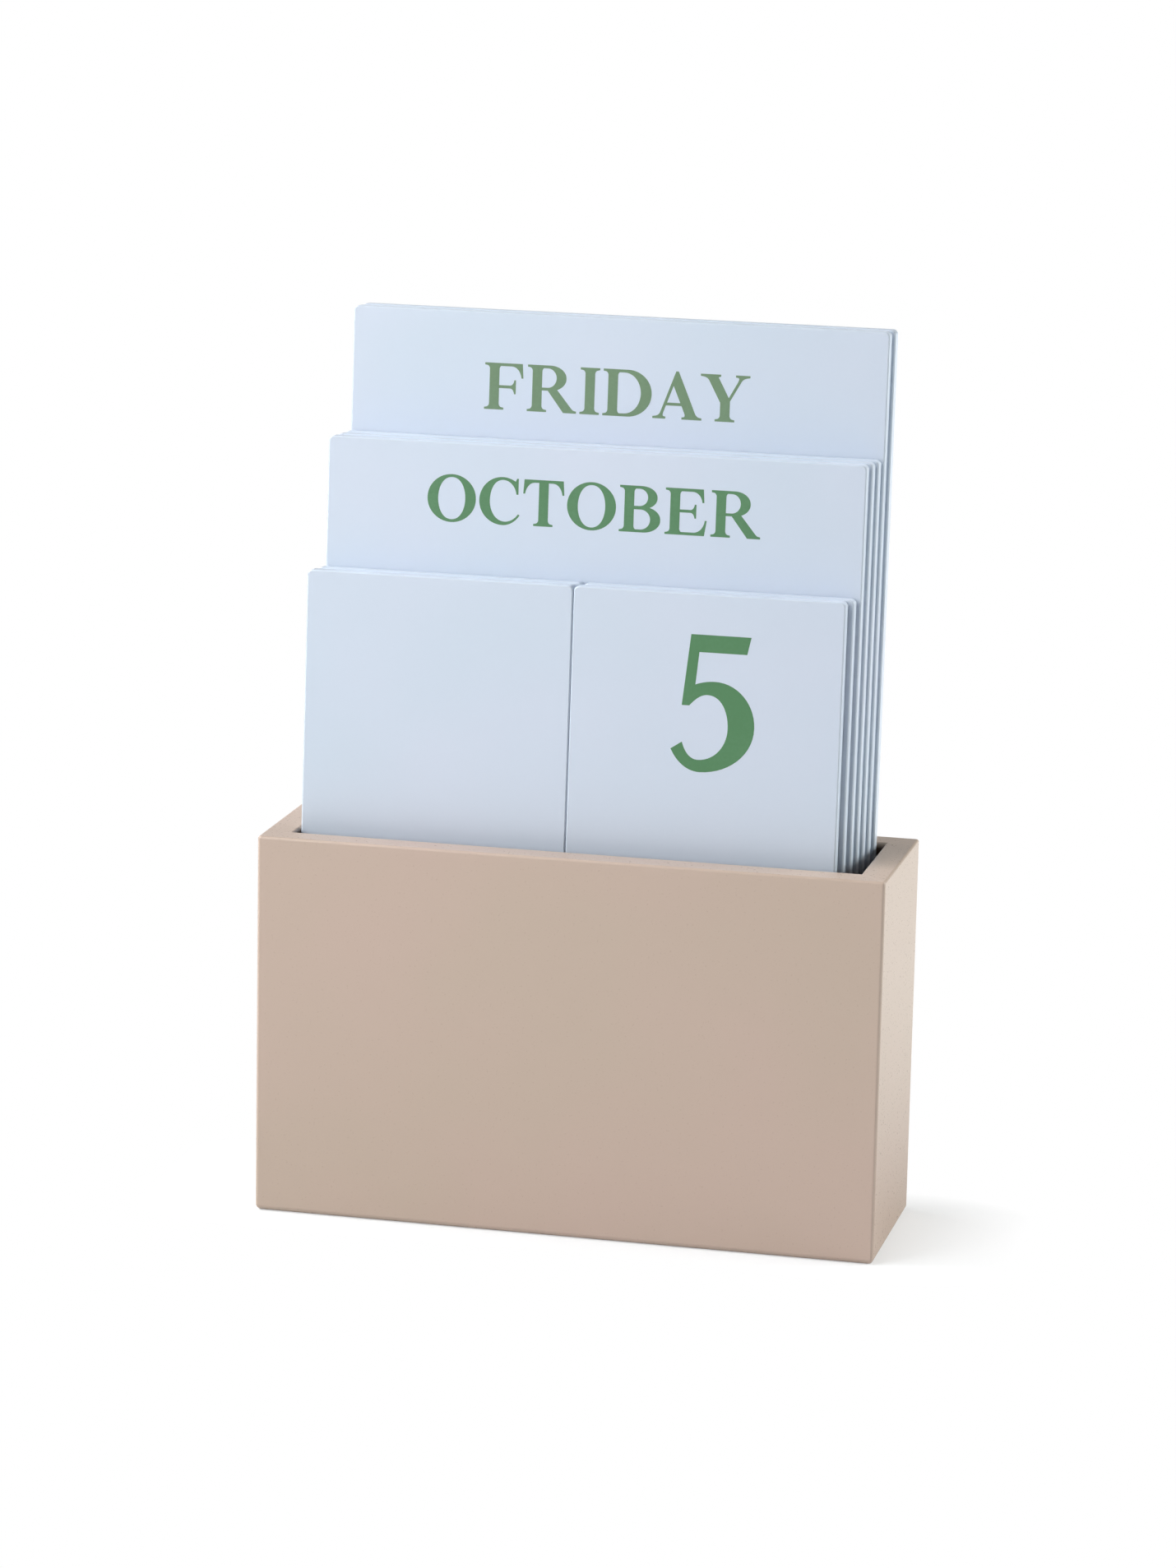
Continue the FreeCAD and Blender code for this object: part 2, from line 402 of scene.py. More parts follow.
def stroke(left, right, top_left=None, top_right=None, low=0.0, high=1.0):
    """Straight stroke between two heights. Without its top's places it is upright."""
    top_left = left if top_left is None else top_left
    top_right = right if top_right is None else top_right
    return outline((left, low), (right, low), (top_right, high), (top_left, high))


def column(x, width=STEM):
    """Upright stem with a serif at each end."""
    return [stroke(x, x + width), foot(x, x + width), head(x, x + width)]


def bowl(x, low, high, right, thick=STEM * 1.06, swell=0.5, inner=0.5, hair=HAIR):
    """Rounded half of a letter to the right of x. swell and inner say how far its flat parts run."""
    middle = (low + high) / 2
    far = x + (right - x) * swell
    near = x + (right - thick - x) * inner
    return outline(
        (x, low),
        (far, low, 0),
        (right, middle, 90),
        (far, high, 180),
        (x, high),
        (x, high - hair),
        (near, high - hair, 0),
        (right - thick, middle, 270),
        (near, low + hair, 180),
        (x, low + hair),
    )


def arm(x, y, right, beak, slant=0.02, up=1):
    """Thin arm at the top (up -1) or the foot (up 1) of a letter, ending in a beak that points back in."""
    return outline(
        (x, y),
        (right, y),
        (right + slant, y + up * beak),
        (right + slant - 0.042, y + up * beak, -up * 97, -up * 97),
        (right - 0.24, y + up * HAIR, 180),
        (x, y + up * HAIR),
    )


def middle_arm(x, y, right, beak=0.15):
    """Thin arm at half height, ending in a beak both ways."""
    half = HAIR / 2
    return outline(
        (x, y - half),
        (right - 0.13, y - half, 0),
        (right - 0.036, y - beak, -83),
        (right, y - beak),
        (right, y + beak),
        (right - 0.036, y + beak, 263, 263),
        (right - 0.13, y + half, 180),
        (x, y + half),
    )


def ring(low, high, left, right, thick, hair):
    """Whole oval, heavy at its sides, as two halves."""
    half = bowl((left + right) / 2, low, high, right, thick, 0, 0, hair)
    return [half, *turned_round([half], left + right, low + high)]


def capital_a(bar=True):
    parts = [
        outline(
            (0.49, 1.02),
            (0.545, 1.02),
            (0.985, 0.0),
            (0.75, 0.0),
            (0.444, 0.709),
            (0.185, 0.0),
            (0.117, 0.0),
        ),
        foot(0.117, 0.185, 0.366, 0.117, 0.1),
        foot(0.75, 0.985, -0.431, 0.115, 0.085),
    ]
    if bar:
        parts.append(stroke(0.24, 0.82, low=0.285, high=0.285 + HAIR))
    return parts


def capital_c():
    return outline(
        (0.865, 0.655),
        (0.865, 1.0),
        (0.828, 1.0),
        (0.80, 0.935, 130, 150),
        (0.515, 1.02, 180),
        (0.0, 0.5, 270),
        (0.525, -0.02, 0),
        (0.905, 0.21, 58),
        (0.868, 0.232),
        (0.868, 0.232, 236, 236),
        (0.575, HAIR - 0.005, 180),
        (0.235, 0.5, 90),
        (0.525, 1.02 - HAIR, 0),
        (0.822, 0.655, -82),
    )


def capital_g():
    return [
        outline(
            (0.85, 0.655),
            (0.85, 1.0),
            (0.813, 1.0),
            (0.785, 0.935, 130, 150),
            (0.515, 1.02, 180),
            (0.0, 0.5, 270),
            (0.53, -0.02, 0),
            (0.885, 0.07, 33),
            (0.885, 0.30),
            (0.673, 0.30),
            (0.673, 0.09, 205, 205),
            (0.55, HAIR - 0.02, 180),
            (0.235, 0.5, 90),
            (0.515, 1.02 - HAIR, 0),
            (0.807, 0.655, -82),
        ),
        stroke(0.673, 0.885, low=0.2, high=0.36),
        upside_down(foot(0.673, 0.885), 0.44),
    ]


def capital_j():
    return [
        outline(
            (0.33, 0.9),
            (0.33, 0.15, 270, 270),
            (0.035, -0.31, 180),
            (-0.15, -0.19, 90),
            (-0.068, -0.105, 0),
            (0.018, -0.185, 270),
            (-0.012, -0.245, 240, -25),
            (0.118, 0.06, 87, 90),
            (0.118, 0.9),
        ),
        stroke(0.118, 0.33, low=0.5),
        head(0.118, 0.33),
    ]


def capital_m():
    return [
        stroke(0.135, 0.135 + HAIR),
        foot(0.135, 0.135 + HAIR, 0, 0.125, 0.115),
        outline((0.01, 1), (0.01, 0.95), (0.10, 0.945, 0, 0), (0.15, 0.90, -70, 65), (0.34, 1)),
        outline((0.135, 0.98), (0.56, -0.015), (0.615, -0.015), (0.66, 0.10), (0.345, 1), (0.13, 1)),
        outline((0.575, -0.015), (0.615, -0.015), (1.04, 1), (0.972, 1)),
        stroke(0.965, 0.965 + STEM),
        foot(0.965, 0.965 + STEM),
        outline(
            (0.965, 1),
            (1.0, 0.84),
            (1.177, 0.84),
            (1.177, 0.863, 90, 90),
            (1.25, 0.952, 0),
            (1.29, 0.955),
            (1.29, 1),
        ),
    ]


def capital_n():
    return [
        stroke(0.135, 0.135 + HAIR, high=0.96),
        foot(0.135, 0.135 + HAIR, 0, 0.125, 0.125),
        outline((0.0, 1), (0.0, 0.955), (0.06, 0.95, -4), (0.15, 0.87, -72, 65), (0.25, 1)),
        outline((0.05, 1), (0.13, 0.88), (0.845, -0.02), (0.918, -0.02), (0.918, 0.13), (0.275, 1)),
        stroke(0.856, 0.856 + HAIR, low=0.1),
        head(0.856, 0.856 + HAIR, 0, 0.125, 0.125),
    ]


def capital_r():
    return [
        *column(REACH),
        bowl(0.25, 0.46, 1, 0.855, STEM * 1.02, 0.42),
        outline(
            (0.42, 0.50),
            (0.80, 0),
            (1.085, 0),
            (1.085, SLAB * 0.86),
            (1.05, SLAB, 176),
            (0.955, 0.125, 130, 130),
            (0.645, 0.50),
        ),
    ]


def capital_s():
    return outline(
        (0.655, 0.68),
        (0.655, 1.005),
        (0.618, 1.005),
        (0.592, 0.955, 150, 162),
        (0.365, 1.02, 180),
        (0.03, 0.735, 270),
        (0.325, 0.445, -29),
        (0.525, 0.21, 270),
        (0.33, 0.04, 180),
        (0.068, 0.335, 100),
        (0.025, 0.335),
        (0.022, -0.005),
        (0.06, -0.005),
        (0.085, 0.055, -35, -18),
        (0.34, -0.02, 0),
        (0.70, 0.28, 90),
        (0.40, 0.585, 151),
        (0.195, 0.79, 90),
        (0.375, 0.96, 0),
        (0.612, 0.68, -80),
    )


def capital_t():
    arm_right = arm(0.45, 1, 0.90, 0.31, 0.02, -1)
    arm_left = [complex(0.932 - p.real, p.imag) for p in arm_right]
    return [stroke(0.36, 0.36 + STEM), foot(0.36, 0.36 + STEM), arm_right, arm_left]


def capital_u():
    return [
        outline(
            (REACH, 0.95),
            (REACH, 0.32, 270, 270),
            (0.565, -0.022, 0),
            (0.96, 0.36, 90),
            (0.96, 0.95),
            (0.96 - HAIR, 0.95),
            (0.96 - HAIR, 0.36, 270, 270),
            (0.60, 0.055, 180),
            (REACH + STEM, 0.33, 90),
            (REACH + STEM, 0.95),
        ),
        head(REACH, REACH + STEM),
        head(0.96 - HAIR, 0.96, 0, 0.13, 0.12),
    ]


def capital_v(shift=0.0):
    return [[point + shift for point in part] for part in turned_round(capital_a(bar=False), 1.10)]


def capital_y():
    return [
        stroke(0.44, 0.44 + STEM, high=0.44),
        foot(0.44, 0.44 + STEM),
        outline((0.44, 0.40), (0.652, 0.40), (0.652, 0.455), (0.355, 1), (0.115, 1)),
        outline((0.575, 0.42), (0.652, 0.40), (0.652, 0.44), (0.965, 1), (0.892, 1)),
        head(0.115, 0.355, 0.54, 0.115, 0.085),
        head(0.892, 0.965, -0.56, 0.13, 0.11),
    ]


LETTERS = {
    "A": (1.07, capital_a),
    "B": (
        0.93,
        lambda: [
            *column(REACH),
            bowl(0.25, 0, 0.555, 0.905, swell=0.42),
            bowl(0.25, 0.505, 1, 0.83, STEM * 0.98, 0.40),
        ],
    ),
    "C": (0.905, lambda: [capital_c()]),
    "D": (1.08, lambda: [*column(REACH), bowl(0.25, 0, 1, 1.065, STEM * 1.12, 0.36, 0.36)]),
    "E": (
        0.93,
        lambda: [
            *column(REACH),
            arm(0.25, 1, 0.83, 0.29, 0.02, -1),
            middle_arm(0.25, 0.515, 0.68),
            arm(0.25, 0, 0.865, 0.33, 0.05),
        ],
    ),
    "F": (
        0.87,
        lambda: [*column(REACH), arm(0.25, 1, 0.83, 0.31, 0.02, -1), middle_arm(0.25, 0.495, 0.69)],
    ),
    "G": (0.99, capital_g),
    "H": (
        1.15,
        lambda: [
            *column(REACH),
            *column(1.15 - REACH - STEM),
            stroke(0.25, 0.9, low=0.485, high=0.485 + HAIR),
        ],
    ),
    "I": (0.428, lambda: column(REACH)),
    "J": (0.45, capital_j),
    "L": (0.90, lambda: [*column(REACH), arm(0.25, 0, 0.845, 0.35, 0.045)]),
    "M": (1.29, capital_m),
    "N": (1.05, capital_n),
    "O": (1.08, lambda: ring(-0.02, 1.02, 0, 1.08, STEM * 1.12, HAIR)),
    "P": (0.90, lambda: [*column(REACH), bowl(0.25, 0.43, 1, 0.885, STEM * 1.04, 0.42)]),
    "R": (1.085, capital_r),
    "S": (0.71, lambda: [capital_s()]),
    "T": (0.932, capital_t),
    "U": (1.08, capital_u),
    "V": (1.10, capital_v),
    "W": (1.62, lambda: [*capital_v(), *capital_v(0.55)]),
    "Y": (1.08, capital_y),
}


def figure_one():
    return [
        outline(
            (0.21, 0),
            (0.402, 0),
            (0.402, 1),
            (0.30, 1),
            (0.02, 0.845),
            (0.045, 0.765),
            (0.21, 0.82),
        )
    ]


def figure_two():
    return [
        outline(
            (0, 0),
            (0.605, 0),
            (0.63, 0.125),
            (0.19, 0.125, 46, 46),
            (0.622, 0.70, 90),
            (0.31, 1.012, 180),
            (0.008, 0.775, 270),
            (0.028, 0.685),
            (0.135, 0.715),
            (0.135, 0.715, 100, 100),
            (0.28, 0.925, 0),
            (0.428, 0.69, 270),
            (0, 0.075, 228),
        )
    ]


def figure_three():
    return [
        outline(
            (0.03, 0.80),
            (0.125, 0.755),
            (0.125, 0.755, 78, 78),
            (0.262, 0.918, 0),
            (0.388, 0.755, 270),
            (0.185, 0.57, 180),
            (0.185, 0.485),
            (0.185, 0.485, 0, 0),
            (0.412, 0.28, 270),
            (0.215, 0.08, 180),
            (0.085, 0.205, 105),
            (0.0, 0.15),
            (0.0, 0.15, -65, -65),
            (0.22, -0.012, 0),
            (0.605, 0.285, 90),
            (0.375, 0.54, 170, 25),
            (0.565, 0.775, 90),
            (0.28, 1.012, 180),
            (0.03, 0.80, 247),
        )
    ]


def figure_four():
    return [
        stroke(0.36, 0.552),
        stroke(0, 0.66, low=0.215, high=0.325),
        outline(
            (0, 0.215),
            (0.125, 0.325),
            (0.40, 0.80),
            (0.55, 0.95),
            (0.55, 1),
            (0.43, 1),
            (0, 0.315),
        ),
    ]


def figure_five():
    return [
        outline(
            (0.125, 1),
            (0.072, 0.475),
            (0.128, 0.475),
            (0.128, 0.475, 48, 48),
            (0.262, 0.56, 0),
            (0.42, 0.32, 270),
            (0.205, 0.078, 180),
            (0.083, 0.205, 105),
            (0.0, 0.15),
            (0.0, 0.15, -65, -65),
            (0.22, -0.012, 0),
            (0.617, 0.335, 90),
            (0.315, 0.66, 180),
            (0.168, 0.632, 202),
            (0.19, 0.872),
            (0.545, 0.872),
            (0.572, 1),
        )
    ]


def figure_six():
    return [
        outline(
            (0.315, -0.012),
            (0.315, 0.075),
            (0.315, 0.075, 180, 180),
            (0.195, 0.33, 90),
            (0.575, 0.955, 32),
            (0.545, 1.012),
            (0.545, 1.012, 205, 205),
            (0.0, 0.35, 270),
            (0.315, -0.012, 0),
        ),
        outline(
            (0.315, -0.012, 0),
            (0.63, 0.33, 90),
            (0.375, 0.655, 180),
            (0.17, 0.56, 222),
            (0.195, 0.47, -60, 50),
            (0.315, 0.56, 0),
            (0.437, 0.315, 270),
            (0.315, 0.075, 180),
        ),
    ]


def figure_seven():
    return [
        outline(
            (0.0, 1),
            (0.022, 0.872),
            (0.425, 0.872),
            (0.425, 0.872, 247, 247),
            (0.115, 0, 258),
            (0.315, 0),
            (0.315, 0, 78, 78),
            (0.60, 0.925, 62),
            (0.60, 1),
        )
    ]


def figure_eight():
    return [*ring(0.485, 1.012, 0.065, 0.555, 0.155, 0.082), *ring(-0.012, 0.56, 0, 0.62, 0.188, 0.085)]


FIGURES = {
    "0": (0.65, lambda: ring(-0.012, 1.012, 0, 0.65, 0.192, 0.085)),
    "1": (0.42, figure_one),
    "2": (0.63, figure_two),
    "3": (0.61, figure_three),
    "4": (0.66, figure_four),
    "5": (0.62, figure_five),
    "6": (0.63, figure_six),
    "7": (0.60, figure_seven),
    "8": (0.62, figure_eight),
    "9": (0.63, lambda: turned_round(figure_six(), 0.63)),
}


def merged(outlines):
    """Corners and triangles of the flat sheet that overlapping outlines cover together."""
    same = 1e-6
    corners, loops = [], []
    for points in outlines:
        points = [p for p, before in zip(points, points[-1:] + points[:-1]) if abs(p - before) > same]
        area = sum((p.conjugate() * after).imag for p, after in zip(points, points[1:] + points[:1]))
        loop = list(range(len(corners), len(corners) + len(points)))
        loops.append(loop if area > 0 else loop[::-1])
        corners += [Vector((p.real, p.imag)) for p in points]
    places, _, faces, _, _, sources = delaunay_2d_cdt(corners, [], loops, 1, same)
    return places, [face for face, source in zip(faces, sources) if source]


def set_word(text, table, gap, tucked):
    """Outlines of a word from x 0, with its full width. tucked says how much closer some pairs stand."""
    outlines, x = [], 0.0
    for before, letter in zip(" " + text, text):
        width, parts = table[letter]
        x -= tucked.get(before + letter, 0.0)
        outlines += [[p + x for p in points] for points in parts()]
        x += width + gap
    return outlines, x - gap


def board_axes(name):
    """The board's own directions, across, up and out of its front, each with its reach in metres."""
    up = Vector(frame["joints"][0]["axis"]).normalized()
    across = Vector((1.0, 0.0, 0.0))
    corners = [v.co for v in frame["nodes"][name].data.vertices]
    axes = []
    for direction in (across, up, across.cross(up)):
        reaches = [corner.dot(direction) for corner in corners]
        axes.append((direction, min(reaches), max(reaches)))
    return axes


def silk_screen_ink(name, colour, thin_colour):
    """Matt poster ink. The mesh leaves its coat a little uneven, so its colour breathes without a glint."""
    mesh_mm = 0.6  # the real mesh has a thread every 0.2 mm, drawn coarser so that it shows
    mesh_from, mesh_to = 0.3, 0.7
    patch_mm = 9.0
    thin_from, thin_to = 0.15, 0.40
    skin_deep_mm = 0.004
    roughness_low, roughness_high = 0.52, 0.64
    ink_ior = 1.48
    m = bpy.data.materials.new(name)
    m.use_nodes = True
    tree = m.node_tree
    tree.nodes.clear()
    place = node(tree, "ShaderNodeTexCoord", {}, {}).outputs["Object"]
    patches = node(tree, "ShaderNodeTexNoise", {"Scale": 1000 / patch_mm, "Detail": 3.0}, {"Vector": place})
    weave = node(tree, "ShaderNodeTexNoise", {"Scale": 1000 / mesh_mm, "Detail": 1.0}, {"Vector": place})
    coat = node(
        tree,
        "ShaderNodeMath",
        {"operation": "MULTIPLY"},
        {0: patches.outputs["Fac"], 1: weave.outputs["Fac"]},
    )
    thin = node(
        tree,
        "ShaderNodeMapRange",
        {"From Min": thin_from, "From Max": thin_to, "To Min": 0.0, "To Max": 1.0},
        {"Value": coat.outputs["Value"]},
    )
    pigment = node(
        tree,
        "ShaderNodeMix",
        {"data_type": "RGBA", 6: linear(colour), 7: linear(thin_colour)},
        {0: thin.outputs["Result"]},
    )
    dull = node(
        tree,
        "ShaderNodeMapRange",
        {
            "From Min": mesh_from,
            "From Max": mesh_to,
            "To Min": roughness_low,
            "To Max": roughness_high,
        },
        {"Value": weave.outputs["Fac"]},
    )
    skin = node(
        tree,
        "ShaderNodeBump",
        {"Strength": 1.0, "Distance": skin_deep_mm / 1000},
        {"Height": weave.outputs["Fac"]},
    )
    shader = node(
        tree,
        "ShaderNodeBsdfPrincipled",
        {"IOR": ink_ior},
        {
            "Base Color": pigment.outputs[2],
            "Roughness": dull.outputs["Result"],
            "Normal": skin.outputs["Normal"],
        },
    )
    node(tree, "ShaderNodeOutputMaterial", {}, {"Surface": shader.outputs["BSDF"]})
    return m


COAT_MM = 0.02
SUNK_MM = 0.01
NUMBER_HIGH_MM, NUMBER_DROP_MM, NUMBER_MIDDLE_MM = 25.5, 7.6, 27.39
MONTH_HIGH_MM, MONTH_DROP_MM = 8.7, 6.15
WEEKDAY_HIGH_MM, WEEKDAY_DROP_MM = 8.8, 9.5
FULL_MIDDLE_MM = 51.5
LETTER_GAP = 0.075
TUCKED = {
    "AR": 0.02,
    "AT": 0.12,
    "AU": 0.03,
    "AY": 0.12,
    "CT": 0.02,
    "DA": 0.06,
    "LY": 0.12,
    "MA": 0.04,
    "NO": 0.02,
    "OV": 0.08,
    "PR": 0.02,
    "RU": 0.02,
    "RY": 0.03,
    "ST": 0.01,
    "TO": 0.02,
    "TU": 0.02,
    "UA": 0.02,
    "VE": 0.02,
}


def print_on(board, body, name, text, table, ink, high_mm, drop_mm, middle_mm, rear, turned_over):
    """One number or word. rear puts it on the board's back, turned_over on its other end, upside down."""
    outlines, width = set_word(text, table, LETTER_GAP, TUCKED)
    flat, triangles = merged(outlines)
    (across, left, right), (up, foot_at, top_at), (out, back_at, front_at) = board_axes(board)
    side = -1 if rear else 1
    scale = high_mm / 1000
    span = right - left
    high = top_at - foot_at
    bottom, top = [], []
    for point in flat:
        x = middle_mm / 1000 + (point.x - width / 2) * scale
        y = high - drop_mm / 1000 - (1 - point.y) * scale
        if turned_over:
            x, y = span - x, high - y
        if rear:
            x = span - x
        on_face = across * (left + x) + up * (foot_at + y)
        face_at = back_at if rear else front_at
        bottom.append(on_face + out * (face_at - side * SUNK_MM / 1000))
        top.append(on_face + out * (face_at + side * COAT_MM / 1000))
    mesh = bpy.data.meshes.new(name)
    form = bmesh.new()
    low_corners = [form.verts.new(p) for p in bottom]
    high_corners = [form.verts.new(p) for p in top]
    seen = {}
    for triangle in triangles:
        form.faces.new([high_corners[i] for i in triangle])
        form.faces.new([low_corners[i] for i in reversed(triangle)])
        for a, b in zip(triangle, triangle[1:] + triangle[:1]):
            seen[(a, b)] = True
    for a, b in seen:
        if (b, a) not in seen:
            form.faces.new([low_corners[a], low_corners[b], high_corners[b], high_corners[a]])
    bmesh.ops.delete(form, geom=[v for v in form.verts if not v.link_faces], context="VERTS")
    bmesh.ops.recalc_face_normals(form, faces=form.faces)
    form.to_mesh(mesh)
    form.free()
    mesh.materials.append(ink)
    piece = bpy.data.objects.new(name, mesh)
    bpy.context.scene.collection.objects.link(piece)
    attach(piece, body)


number_ink = silk_screen_ink("number_green_screen_ink", "#4F8256", "#54865C")
month_ink = silk_screen_ink("month_green_screen_ink", "#53835A", "#5A8961")
weekday_ink = silk_screen_ink("weekday_sage_screen_ink", "#6E8A6A", "#739070")

# Each board is read on four ends: its front, its front turned over, its back, and its
# back turned over. A dash is an end without print.
NUMBERS = {
    "left_front": "-123",
    "right_front": "5678",
    "left_rear": "9012",
    "right_rear": "34--",
}
MONTHS = {
    "front": ("OCTOBER", "NOVEMBER", "DECEMBER", "-"),
    "middle": ("FEBRUARY", "MARCH", "APRIL", "MAY"),
    "rear": ("JUNE", "JULY", "AUGUST", "SEPTEMBER"),
}
WEEKDAYS = {
    "front": ("FRIDAY", "SATURDAY", "-", "MONDAY"),
    "rear": ("TUESDAY", "WEDNESDAY", "THURSDAY", "-"),
}
ENDS = ((False, False), (False, True), (True, False), (True, True))
for where, figures in NUMBERS.items():
    for figure, (rear, turned_over) in zip(figures, ENDS):
        if figure != "-":
            print_on(
                f"number_board_{where}",
                f"number_{where}",
                f"print_{figure}_{where}",
                figure,
                FIGURES,
                number_ink,
                NUMBER_HIGH_MM,
                NUMBER_DROP_MM,
                NUMBER_MIDDLE_MM,
                rear,
                turned_over,
            )
for where, words in MONTHS.items():
    for word, (rear, turned_over) in zip(words, ENDS):
        if word != "-":
            print_on(
                f"month_board_{where}",
                f"month_{where}",
                f"print_{word.lower()}",
                word,
                LETTERS,
                month_ink,
                MONTH_HIGH_MM,
                MONTH_DROP_MM,
                FULL_MIDDLE_MM,
                rear,
                turned_over,
            )
for where, words in WEEKDAYS.items():
    for word, (rear, turned_over) in zip(words, ENDS):
        if word != "-":
            print_on(
                f"weekday_board_{where}",
                f"weekday_{where}",
                f"print_{word.lower()}",
                word,
                LETTERS,
                weekday_ink,
                WEEKDAY_HIGH_MM,
                WEEKDAY_DROP_MM,
                FULL_MIDDLE_MM,
                rear,
                turned_over,
            )


# The studio: a table covered with seamless white paper, in a room whose far side is a pale
# backdrop, with large soft boxes round it. To the lens the paper is pure white, except in
# the soft shadow that the box throws to its right.
TABLE_HALF_M = 8.0
TABLE_BELOW_M = 0.00002
TABLE_CORNERS = ((-1, -1), (1, -1), (1, 1), (-1, 1))

table_mesh = bpy.data.meshes.new("white_table")
table_mesh.from_pydata(
    [(x * TABLE_HALF_M, y * TABLE_HALF_M, -TABLE_BELOW_M) for x, y in TABLE_CORNERS],
    [],
    [(0, 1, 2, 3)],
)
table = bpy.data.objects.new("white_table", table_mesh)
bpy.context.scene.collection.objects.link(table)


def seen_by_rays(tree):
    """1 for a ray from the lens or through glass, and 1 for one that a gloss reflects."""
    ray = node(tree, "ShaderNodeLightPath", {}, {})
    straight = node(
        tree,
        "ShaderNodeMath",
        {"operation": "MAXIMUM"},
        {0: ray.outputs["Is Camera Ray"], 1: ray.outputs["Is Transmission Ray"]},
    )
    return straight.outputs["Value"], ray.outputs["Is Glossy Ray"]


PAPER_WHITE = "#CDD0D2"
PAPER_FIBRE = "#CACDCF"
FIBRE_MM = 1.5
LENS_GLOW = 0.42
LENS_WHITE_PAST_M = (0.024, 0.011)
GLOSS_WHITE_PAST_M = (0.17, 0.17)


def white_paper():
    """Seamless paper, lit as any matt white. It also glows, for the lens and for glosses only.

    A short way from the box the glow is full, so only the shadow that lies close to the box is left."""
    m = bpy.data.materials.new("seamless_white_paper")
    m.use_nodes = True
    tree = m.node_tree
    tree.nodes.clear()
    place = node(tree, "ShaderNodeTexCoord", {}, {}).outputs["Object"]
    fibre = node(tree, "ShaderNodeTexNoise", {"Scale": 1000 / FIBRE_MM, "Detail": 2.0}, {"Vector": place})
    tone = node(
        tree,
        "ShaderNodeMix",
        {"data_type": "RGBA", 6: linear(PAPER_FIBRE), 7: linear(PAPER_WHITE)},
        {0: fibre.outputs["Fac"]},
    )
    paper = node(tree, "ShaderNodeBsdfDiffuse", {}, {"Color": tone.outputs[2]}).outputs["BSDF"]
    folded = node(tree, "ShaderNodeVectorMath", {"operation": "ABSOLUTE"}, {0: place})
    past = node(
        tree,
        "ShaderNodeVectorMath",
        {"operation": "SUBTRACT", 1: (cad_high[0], cad_high[1], 0.0)},
        {0: folded.outputs["Vector"]},
    )
    outside = node(
        tree,
        "ShaderNodeVectorMath",
        {"operation": "MAXIMUM", 1: (0.0, 0.0, 0.0)},
        {0: past.outputs["Vector"]},
    )

    def shining(glow, white_past_m):
        """The lit paper with a glow on it by the box, pure white past a distance from it.

        The first distance runs to the side, the second to the front and back, with an oval between
        them. The mix counts a share past 1 as 1."""
        light = node(tree, "ShaderNodeEmission", {"Strength": glow}, {})
        beside = node(tree, "ShaderNodeAddShader", {}, {0: paper, 1: light.outputs["Emission"]})
        shares = node(
            tree,
            "ShaderNodeVectorMath",
            {"operation": "DIVIDE", 1: (*white_past_m, 1.0)},
            {0: outside.outputs["Vector"]},
        )
        away = node(tree, "ShaderNodeVectorMath", {"operation": "LENGTH"}, {0: shares.outputs["Vector"]})
        white = node(tree, "ShaderNodeEmission", {"Strength": 1.0}, {})
        shown = node(
            tree,
            "ShaderNodeMixShader",
            {},
            {0: away.outputs["Value"], 1: beside.outputs["Shader"], 2: white.outputs["Emission"]},
        )
        return shown.outputs["Shader"]

    straight, glossy = seen_by_rays(tree)
    mirrored = node(
        tree,
        "ShaderNodeMixShader",
        {},
        {0: glossy, 1: paper, 2: shining(0.0, GLOSS_WHITE_PAST_M)},
    )
    shown = node(
        tree,
        "ShaderNodeMixShader",
        {},
        {0: straight, 1: mirrored.outputs["Shader"], 2: shining(LENS_GLOW, LENS_WHITE_PAST_M)},
    )
    node(tree, "ShaderNodeOutputMaterial", {}, {"Surface": shown.outputs["Shader"]})
    return m


table_mesh.materials.append(white_paper())


def toward(azimuth, elevation):
    """The direction that lies so many degrees to the right of the calendar's front, and so many up."""
    a, e = math.radians(azimuth), math.radians(elevation)
    return Vector((math.sin(a) * math.cos(e), -math.cos(a) * math.cos(e), math.sin(e)))


# The room is white to the lens. For the calendar it is dark but for a pale backdrop that
# stands behind it, a little to its left. The rim and the boards' tops take their sheen from it.
BACKDROP = toward(205, 18)
BACKDROP_FOCUS = 14.0
BACKDROP_GLOW = 0.75

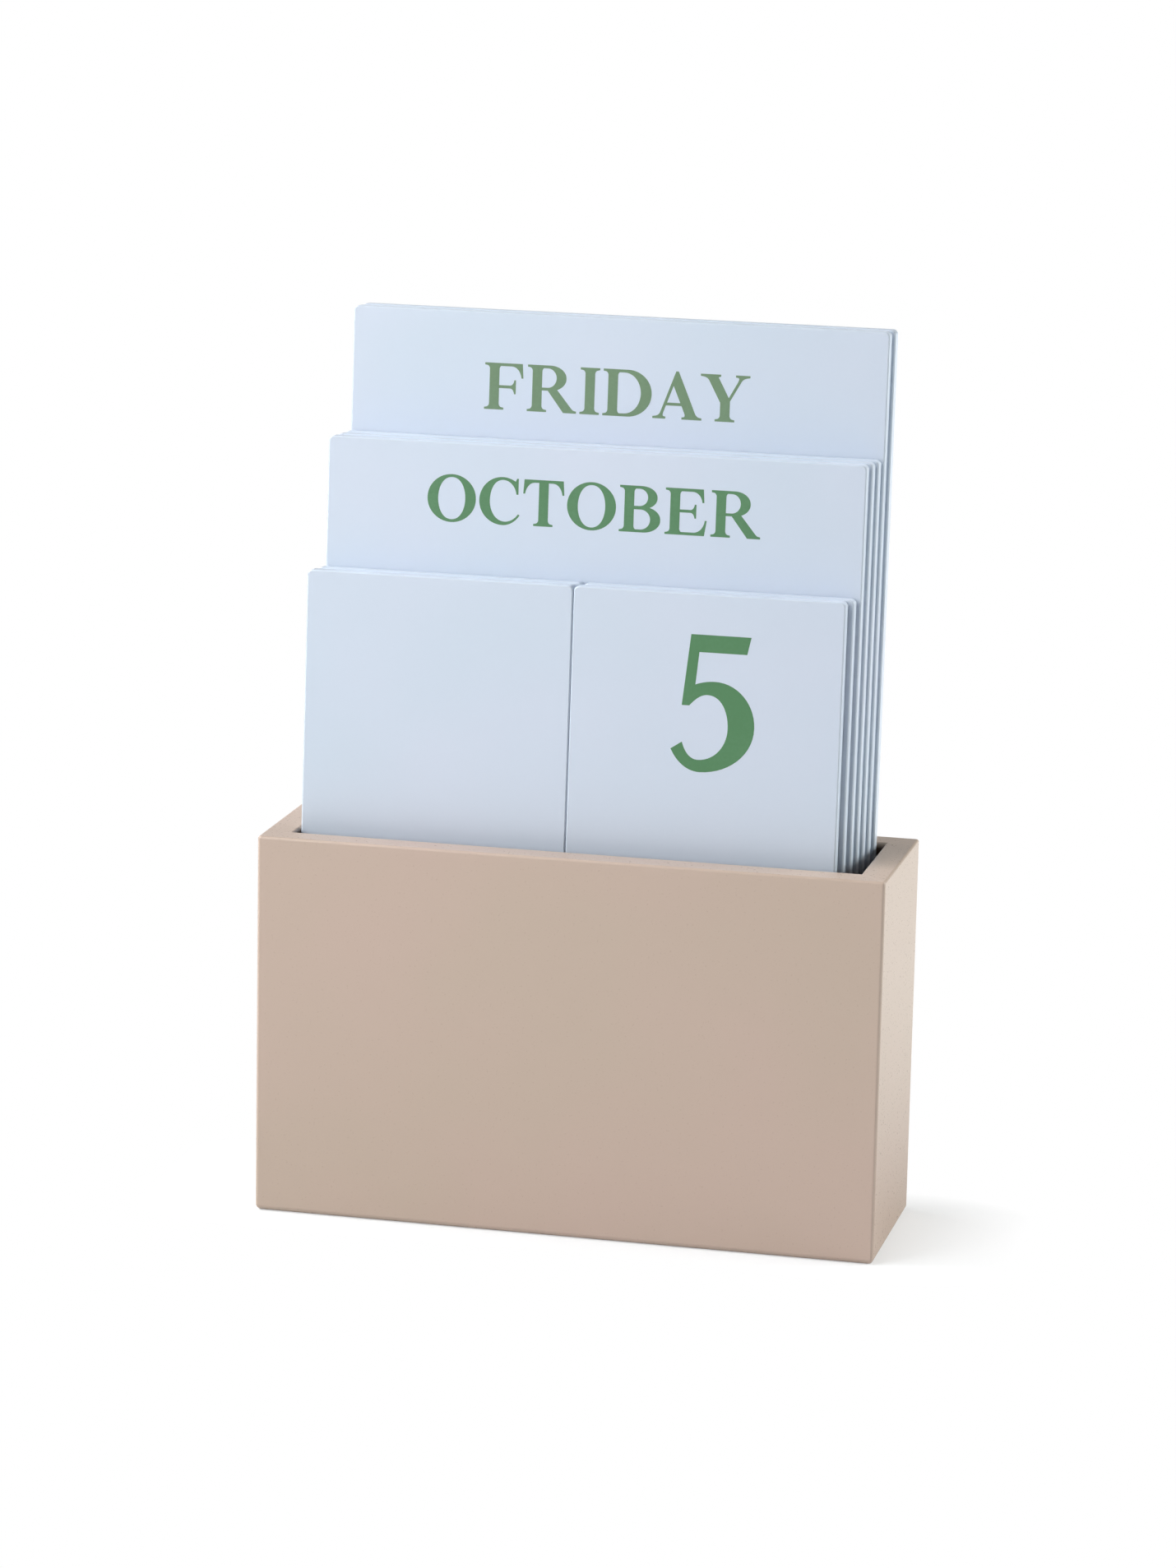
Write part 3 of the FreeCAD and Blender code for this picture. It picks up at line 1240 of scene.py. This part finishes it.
room = bpy.data.worlds.new("white_room")
bpy.context.scene.world = room
room.use_nodes = True
tree = room.node_tree
tree.nodes.clear()
way = node(tree, "ShaderNodeTexCoord", {}, {}).outputs["Generated"]
facing = node(tree, "ShaderNodeVectorMath", {"operation": "DOT_PRODUCT", 1: BACKDROP}, {0: way})
ahead = node(tree, "ShaderNodeMath", {"operation": "MAXIMUM", 1: 0.0}, {0: facing.outputs["Value"]})
falling_off = node(
    tree,
    "ShaderNodeMath",
    {"operation": "POWER", 1: BACKDROP_FOCUS},
    {0: ahead.outputs["Value"]},
)
backdrop = node(
    tree,
    "ShaderNodeMath",
    {"operation": "MULTIPLY", 1: BACKDROP_GLOW},
    {0: falling_off.outputs["Value"]},
)
white = node(
    tree,
    "ShaderNodeMath",
    {"operation": "MAXIMUM"},
    {0: seen_by_rays(tree)[0], 1: backdrop.outputs["Value"]},
)
sky = node(tree, "ShaderNodeBackground", {"Color": (1, 1, 1, 1)}, {"Strength": white.outputs["Value"]})
node(tree, "ShaderNodeOutputWorld", {}, {"Surface": sky.outputs["Background"]})

MIDDLE = Vector((0.0, 0.0, 0.08))
LAMP_AWAY_M = 1.2
SHEET_M = 0.8
LOW_SHEET_M = 0.45
WHITE_CLOTH = (1.0, 1.0, 1.0)
AGED_CLOTH = (0.97, 1.0, 0.96)


def soft_box(name, azimuth, elevation, high_m, watts, cloth=WHITE_CLOTH):
    """A lamp behind a sheet of cloth, turned to face the calendar's middle."""
    lamp = bpy.data.lights.new(name, "AREA")
    lamp.shape = "RECTANGLE"
    lamp.size = SHEET_M
    lamp.size_y = high_m
    lamp.energy = watts
    lamp.color = cloth
    holder = bpy.data.objects.new(name, lamp)
    holder.location = MIDDLE + LAMP_AWAY_M * toward(azimuth, elevation)
    holder.visible_camera = False
    holder.rotation_euler = (MIDDLE - holder.location).to_track_quat("-Z", "Y").to_euler()
    bpy.context.scene.collection.objects.link(holder)


# The keys light the fronts and tops from the left, and the fill evens the fronts out. The
# panel and the kicker reach the right side and the back.
soft_box("key_front_left", -60, 45, SHEET_M, 10.9)
soft_box("key_left", -90, 45, SHEET_M, 6.4)
soft_box("fill_front_left", -30, 15, LOW_SHEET_M, 6.3)
soft_box("panel_low_right", 115, 12, LOW_SHEET_M, 12.0, AGED_CLOTH)
soft_box("kicker_behind_right", 140, 30, SHEET_M, 3.3)

bpy.context.scene.view_settings.view_transform = "Standard"
